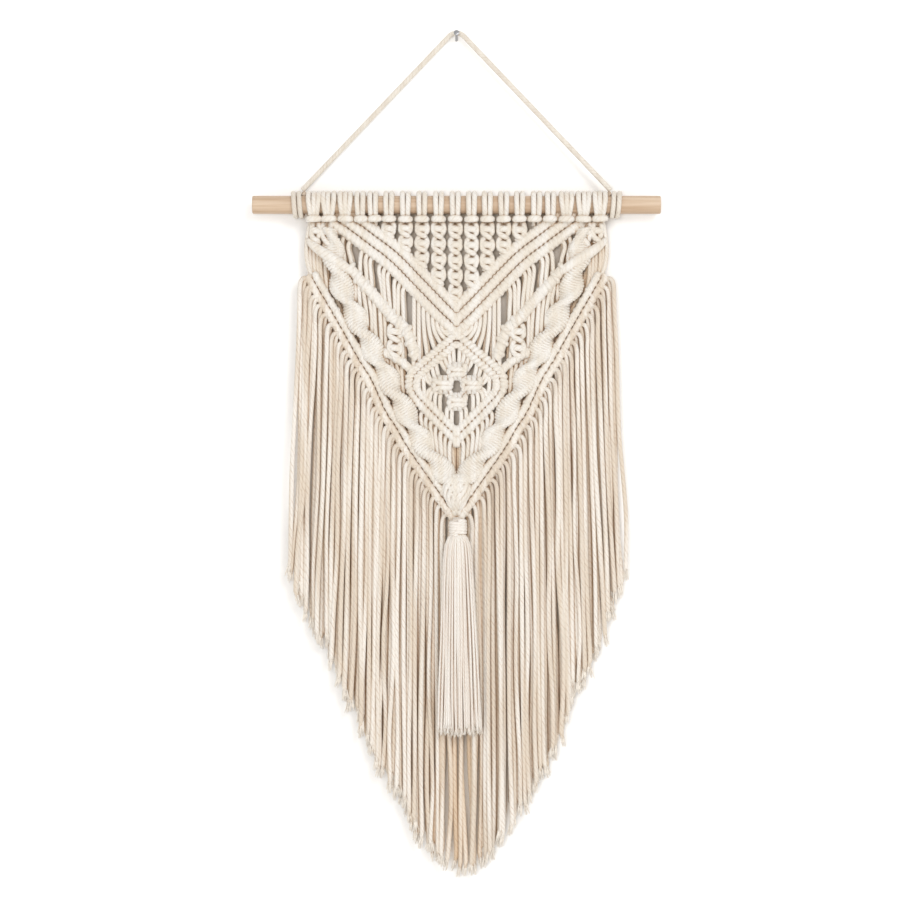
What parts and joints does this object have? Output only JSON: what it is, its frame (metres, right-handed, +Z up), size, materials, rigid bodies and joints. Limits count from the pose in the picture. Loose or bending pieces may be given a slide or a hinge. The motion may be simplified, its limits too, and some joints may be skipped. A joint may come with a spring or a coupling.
{
  "type": "macrame wall hanging with its dowel, hanging cord and nail",
  "caption": "Knotted cotton wall hanging on a wooden dowel: a V of hitched rows, a diamond, twisted bands, a pointed fringe and a tassel, hung by a cord over a nail.",
  "frame": {"origin": "centre of the nail's flat back face, on the wall plane", "axes": "+Z up, +X to the right as seen from the front, +Y into the wall; the front faces -Y"},
  "size_m": [0.408, 0.0313, 0.8419],
  "materials": {
    "cotton_cord": "matt three-ply twisted cotton",
    "fringe_cord": "matt three-ply twisted cotton, cut ends a little frayed",
    "hanger_cord": "matt three-ply twisted cotton",
    "dowel_wood": "plain sanded pale wood",
    "nail_steel": "dark plain steel"
  },
  "bodies": {
    "root": {"nail": "nail_steel", "dowel": "dowel_wood", "hanger": "hanger_cord", "hanger_wrap_left": "hanger_cord", "hanger_wrap_right": "hanger_cord", "heading": "cotton_cord", "macrame_panel": "cotton_cord", "fringe_left": "fringe_cord", "fringe_right": "fringe_cord", "tassel": "fringe_cord"}
  },
  "joints": []
}
